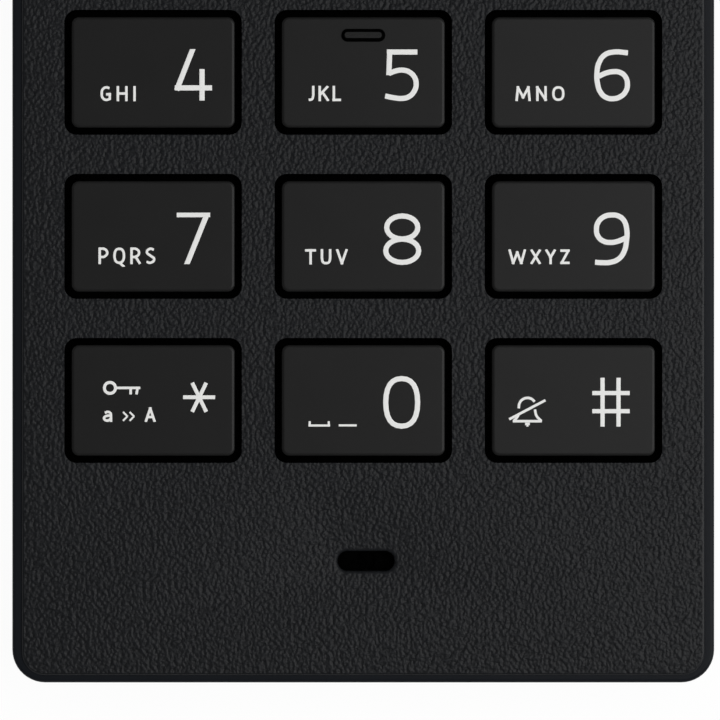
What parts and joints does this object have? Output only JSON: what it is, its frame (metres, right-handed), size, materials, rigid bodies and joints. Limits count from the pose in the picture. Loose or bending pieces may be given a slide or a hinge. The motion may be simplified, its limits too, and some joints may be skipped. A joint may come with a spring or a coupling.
{
  "type": "slider phone",
  "caption": "Slide-up mobile phone, shown open: a flat keypad half with press keys and a display half that slides over it on rails, with battery, board, camera and speaker inside.",
  "frame": {"origin": "middle of the base's rear face, which lies on the table", "axes": "+Y towards the top of the phone, along the slide's travel; +Z out of the keypad deck; +X to the right of the deck"},
  "size_m": [0.053, 0.1612, 0.0147],
  "materials": {
    "grained_shell": "fine leather-like grain, satin black",
    "back_shell": "fine spark texture, satin black",
    "key_plastic": "smooth satin black, white printed digits",
    "side_key_plastic": "smooth black",
    "window_glass": "clear hard-coated window with a black printed border",
    "display_panel": "dark, switched off",
    "pressed_steel": "stamped, bare",
    "tray_metal": "die-cast, bare",
    "can_metal": "tinned",
    "spring_steel": "bright",
    "screw_metal": "black zinc",
    "circuit_board": "green solder mask",
    "foil": "dome foil",
    "silicone": "milky silicone",
    "black_rubber": "soft black rubber",
    "rail_plastic": "acetal",
    "flex_film": "polyimide film",
    "battery_wrap": "plain wrapped cell",
    "component_plastic": "moulded black",
    "sim_plastic": "plain white card",
    "lens_glass": "coated camera window",
    "mesh_cloth": "fine acoustic mesh"
  },
  "bodies": {
    "base": {"base_front_cover": "grained_shell", "base_rear_cover": "back_shell", "battery": "battery_wrap", "battery_connector": "component_plastic", "sim_holder": "can_metal", "sim_card": "sim_plastic", "main_board": "circuit_board", "shield_cans": "can_metal", "keypad_dome_sheet": "foil", "keypad_mat": "silicone", "microphone": "can_metal", "mic_boot": "black_rubber", "loudspeaker": "component_plastic", "speaker_gasket": "black_rubber", "vibration_motor": "can_metal", "camera_module": "component_plastic", "camera_window": "lens_glass", "usb_connector": "can_metal", "antenna_carrier": "component_plastic", "side_switches": "component_plastic", "base_screws": "screw_metal", "fixed_plate": "pressed_steel", "plate_screws": "screw_metal", "detent_springs": "spring_steel"},
    "slide": {"slide_front_cover": "grained_shell", "slide_rear_cover": "back_shell", "slide_screws": "screw_metal", "display_window": "window_glass", "display_module": "display_panel", "display_frame": "tray_metal", "receiver": "component_plastic", "receiver_mesh": "mesh_cloth", "slide_board": "circuit_board", "slide_dome_sheet": "foil", "slide_key_mat": "silicone", "sliding_plate": "pressed_steel", "guide_rails": "rail_plastic", "flex_cable": "flex_film"},
    "battery_cover": {"battery_cover": "back_shell"},
    "volume_rocker": {"volume_rocker": "side_key_plastic"},
    "camera_key": {"camera_key": "side_key_plastic"},
    "motor_weight": {"motor_weight": "pressed_steel"},
    "nav_rocker": {"nav_rocker": "key_plastic"},
    "key_1": {"key_1": "key_plastic"},
    "key_2": {"key_2": "key_plastic"},
    "key_3": {"key_3": "key_plastic"},
    "key_4": {"key_4": "key_plastic"},
    "key_5": {"key_5": "key_plastic"},
    "key_6": {"key_6": "key_plastic"},
    "key_7": {"key_7": "key_plastic"},
    "key_8": {"key_8": "key_plastic"},
    "key_9": {"key_9": "key_plastic"},
    "key_star": {"key_star": "key_plastic"},
    "key_0": {"key_0": "key_plastic"},
    "key_hash": {"key_hash": "key_plastic"},
    "call_key": {"call_key": "key_plastic"},
    "end_key": {"end_key": "key_plastic"},
    "left_softkey": {"left_softkey": "key_plastic"},
    "right_softkey": {"right_softkey": "key_plastic"},
    "select_key": {"select_key": "key_plastic"}
  },
  "joints": [
    {"name": "slide_travel", "type": "slide", "parent": "base", "child": "slide", "axis": [0, 1, 0], "range_m": [-0.0492, 0]},
    {"name": "battery_cover_slide", "type": "slide", "parent": "base", "child": "battery_cover", "axis": [0, -1, 0], "range_m": [0, 0.005]},
    {"name": "volume_tilt", "type": "hinge", "parent": "base", "child": "volume_rocker", "pos_m": [-0.0241, 0.031, 0.00445], "axis": [0, 0, 1], "range_deg": [-1.5, 1.5], "stiffness_Nm_per_rad": 0.06},
    {"name": "camera_key_press", "type": "slide", "parent": "base", "child": "camera_key", "axis": [-1, 0, 0], "range_m": [0, 0.0003], "stiffness_N_per_m": 2500},
    {"name": "motor_spin", "type": "hinge", "parent": "base", "child": "motor_weight", "pos_m": [0.0189, 0.046, 0.00298], "axis": [1, 0, 0], "continuous": true},
    {"name": "nav_tilt", "type": "hinge", "parent": "slide", "child": "nav_rocker", "pos_m": [0, 0.0218, 0.01305], "axis": [1, 0, 0], "range_deg": [-1.5, 1.5], "stiffness_Nm_per_rad": 0.06},
    {"name": "key_1_press", "type": "slide", "parent": "base", "child": "key_1", "axis": [0, 0, -1], "range_m": [0, 0.0003], "stiffness_N_per_m": 2500},
    {"name": "key_2_press", "type": "slide", "parent": "base", "child": "key_2", "axis": [0, 0, -1], "range_m": [0, 0.0003], "stiffness_N_per_m": 2500},
    {"name": "key_3_press", "type": "slide", "parent": "base", "child": "key_3", "axis": [0, 0, -1], "range_m": [0, 0.0003], "stiffness_N_per_m": 2500},
    {"name": "key_4_press", "type": "slide", "parent": "base", "child": "key_4", "axis": [0, 0, -1], "range_m": [0, 0.0003], "stiffness_N_per_m": 2500},
    {"name": "key_5_press", "type": "slide", "parent": "base", "child": "key_5", "axis": [0, 0, -1], "range_m": [0, 0.0003], "stiffness_N_per_m": 2500},
    {"name": "key_6_press", "type": "slide", "parent": "base", "child": "key_6", "axis": [0, 0, -1], "range_m": [0, 0.0003], "stiffness_N_per_m": 2500},
    {"name": "key_7_press", "type": "slide", "parent": "base", "child": "key_7", "axis": [0, 0, -1], "range_m": [0, 0.0003], "stiffness_N_per_m": 2500},
    {"name": "key_8_press", "type": "slide", "parent": "base", "child": "key_8", "axis": [0, 0, -1], "range_m": [0, 0.0003], "stiffness_N_per_m": 2500},
    {"name": "key_9_press", "type": "slide", "parent": "base", "child": "key_9", "axis": [0, 0, -1], "range_m": [0, 0.0003], "stiffness_N_per_m": 2500},
    {"name": "key_star_press", "type": "slide", "parent": "base", "child": "key_star", "axis": [0, 0, -1], "range_m": [0, 0.0003], "stiffness_N_per_m": 2500},
    {"name": "key_0_press", "type": "slide", "parent": "base", "child": "key_0", "axis": [0, 0, -1], "range_m": [0, 0.0003], "stiffness_N_per_m": 2500},
    {"name": "key_hash_press", "type": "slide", "parent": "base", "child": "key_hash", "axis": [0, 0, -1], "range_m": [0, 0.0003], "stiffness_N_per_m": 2500},
    {"name": "call_key_press", "type": "slide", "parent": "slide", "child": "call_key", "axis": [0, 0, -1], "range_m": [0, 0.0003], "stiffness_N_per_m": 2500},
    {"name": "end_key_press", "type": "slide", "parent": "slide", "child": "end_key", "axis": [0, 0, -1], "range_m": [0, 0.0003], "stiffness_N_per_m": 2500},
    {"name": "left_softkey_press", "type": "slide", "parent": "slide", "child": "left_softkey", "axis": [0, 0, -1], "range_m": [0, 0.0003], "stiffness_N_per_m": 2500},
    {"name": "right_softkey_press", "type": "slide", "parent": "slide", "child": "right_softkey", "axis": [0, 0, -1], "range_m": [0, 0.0003], "stiffness_N_per_m": 2500},
    {"name": "select_key_press", "type": "slide", "parent": "slide", "child": "select_key", "axis": [0, 0, -1], "range_m": [0, 0.0003], "stiffness_N_per_m": 2500}
  ]
}
